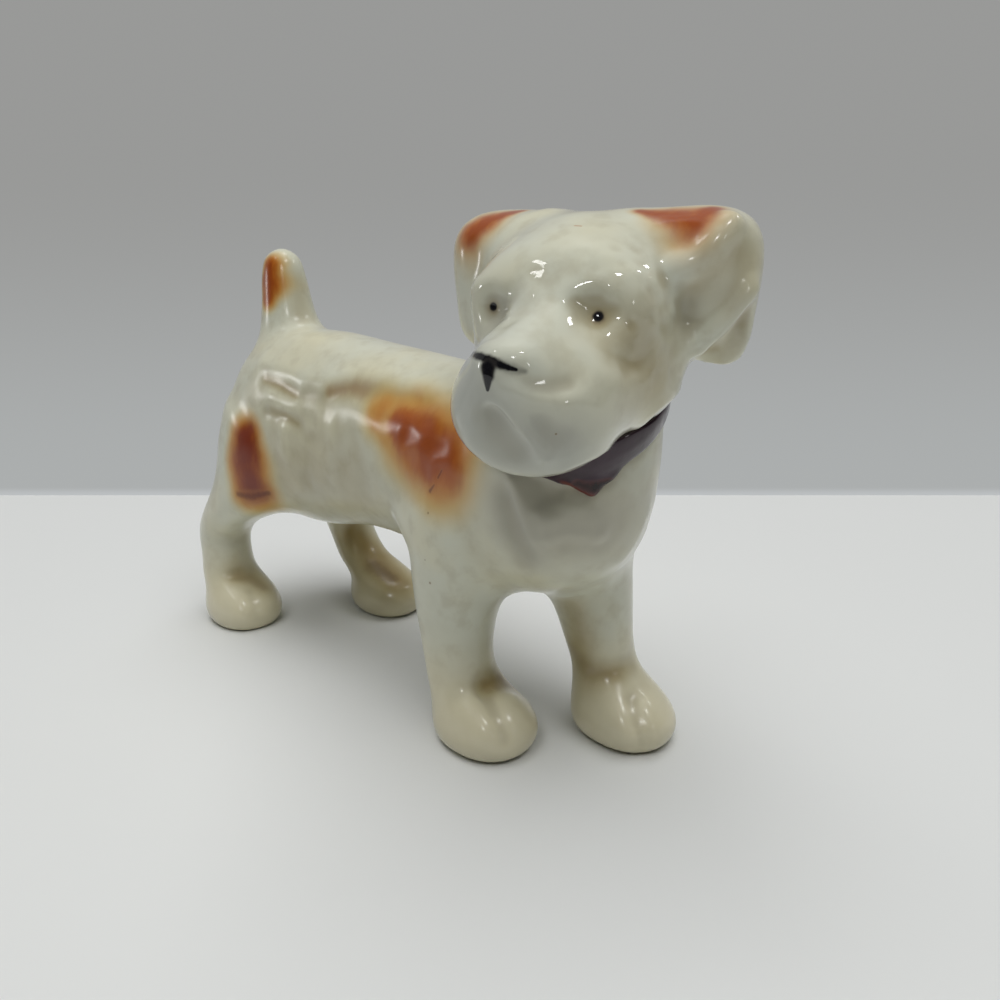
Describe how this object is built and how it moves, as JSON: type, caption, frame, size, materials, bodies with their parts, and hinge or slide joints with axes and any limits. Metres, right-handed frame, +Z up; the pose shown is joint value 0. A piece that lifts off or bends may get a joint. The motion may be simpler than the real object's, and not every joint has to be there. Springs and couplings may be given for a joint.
{
  "type": "porcelain dog figurine",
  "caption": "Small glazed porcelain terrier standing on its four paws, with folded ears, an upright tail, a collar and its head turned to its right.",
  "frame": {"origin": "on the ground, under the middle of the whole figurine's box", "axes": "+X forward along the body from the rump to the chest, +Y to the dog's left, +Z up"},
  "size_m": [0.0822, 0.0362, 0.059],
  "materials": {
    "white_glaze": "glossy grey-white porcelain glaze",
    "collar_glaze": "glossy dark purple overglaze"
  },
  "bodies": {
    "root": {"torso": "white_glaze", "head": "white_glaze", "ear_left": "white_glaze", "ear_right": "white_glaze", "foreleg_left": "white_glaze", "foreleg_right": "white_glaze", "hindleg_left": "white_glaze", "hindleg_right": "white_glaze", "tail": "white_glaze", "collar": "collar_glaze"}
  },
  "joints": []
}
